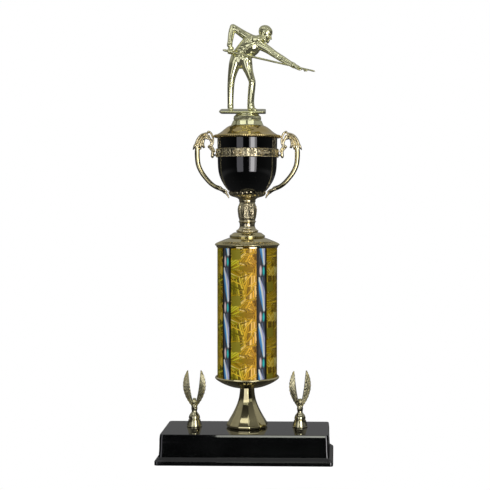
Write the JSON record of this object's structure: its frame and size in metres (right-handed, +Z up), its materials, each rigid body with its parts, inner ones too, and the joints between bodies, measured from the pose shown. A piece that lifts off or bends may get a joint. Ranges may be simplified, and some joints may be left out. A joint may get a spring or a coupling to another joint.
{
  "type": "billiards trophy",
  "caption": "Tall award trophy: weighted black base with winged trims, faceted riser, wrapped round column, lidded two-handled cup and a plated player figure with a cue.",
  "frame": {"origin": "centre of the base's underside, on the surface the trophy stands on", "axes": "+Z up, front of the base at -Y, +X to the right of a person facing the front; the column stands 10.5 mm behind the base's centre"},
  "size_m": [0.245, 0.116, 0.6077],
  "materials": {
    "black_gloss": "polished black",
    "plated_gold": "metallised plastic, antique gold",
    "pale_gold": "metallised plastic, pale bright gold",
    "lid_gold": "metallised plastic, warm gold",
    "gold_film": "holographic gold film",
    "prism_film": "silver prism tape with black edges",
    "tube_board": "bare wound board",
    "weight_iron": "as cast",
    "zinc_steel": "zinc plated"
  },
  "bodies": {
    "root": {"base_shell": "black_gloss", "base_weight": "weight_iron", "base_washer": "zinc_steel", "base_nut": "zinc_steel", "centre_rod": "zinc_steel", "foot_riser": "plated_gold", "lower_column_cap": "plated_gold", "column_tube": "tube_board", "column_wrap": "gold_film", "prism_stripe_1": "prism_film", "prism_stripe_2": "prism_film", "prism_stripe_3": "prism_film", "prism_stripe_4": "prism_film", "prism_stripe_5": "prism_film", "upper_column_cap": "plated_gold", "cup_foot": "plated_gold", "cup_stem": "plated_gold", "cup_calyx": "plated_gold", "cup_bowl": "black_gloss", "cup_band": "plated_gold", "cup_handle_left": "plated_gold", "cup_handle_right": "plated_gold", "handle_screw_left": "zinc_steel", "handle_screw_right": "zinc_steel", "cup_lid": "lid_gold", "figure_riser": "pale_gold", "figure_nut": "zinc_steel", "player_figure": "pale_gold", "trim_left": "plated_gold", "trim_right": "plated_gold", "trim_screw_left": "zinc_steel", "trim_screw_right": "zinc_steel", "trim_washer_left": "zinc_steel", "trim_washer_right": "zinc_steel"}
  },
  "joints": []
}
